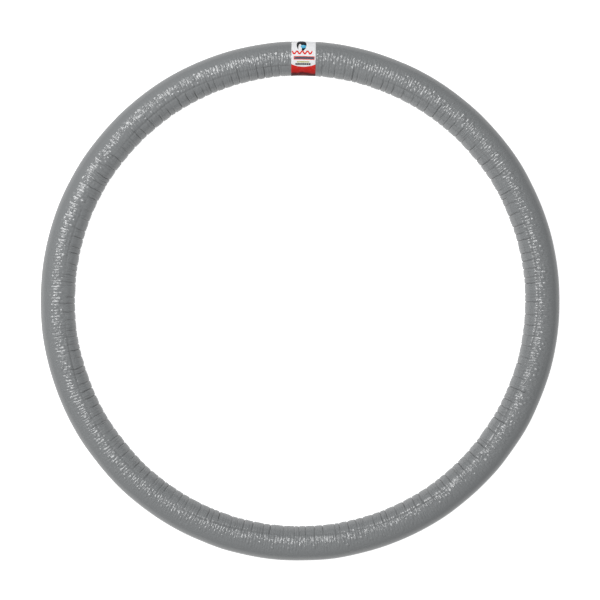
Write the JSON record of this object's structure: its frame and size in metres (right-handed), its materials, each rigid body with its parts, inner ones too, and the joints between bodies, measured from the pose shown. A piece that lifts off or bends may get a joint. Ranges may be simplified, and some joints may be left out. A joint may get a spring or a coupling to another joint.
{
  "type": "padded gymnastics hoop",
  "caption": "Large padded hoop: a foam sleeve under glossy wrinkled film on a ring of plastic pipe, with a printed label wrap over its joint.",
  "frame": {"origin": "the ring's centre, level with the middle of its section", "axes": "+Z along the hoop's axis, up when the hoop lies flat; +Y from the centre to the label; +X to its right"},
  "size_m": [1, 1.0002, 0.0664],
  "materials": {
    "core_pipe": "satin",
    "connector_plastic": "satin",
    "screw_steel": "satin",
    "joint_tape": "satin",
    "foam": "matte",
    "adhesive": "satin",
    "grey_film": "gloss",
    "seam_tape": "gloss",
    "printed_label": "gloss"
  },
  "bodies": {
    "root": {"core_tube": "core_pipe", "joint_connector": "connector_plastic", "joint_screws": "screw_steel", "joint_tape": "joint_tape", "foam_sleeve": "foam", "foam_adhesive": "adhesive", "cover_film": "grey_film", "seam_tape": "seam_tape", "label": "printed_label"}
  },
  "joints": []
}
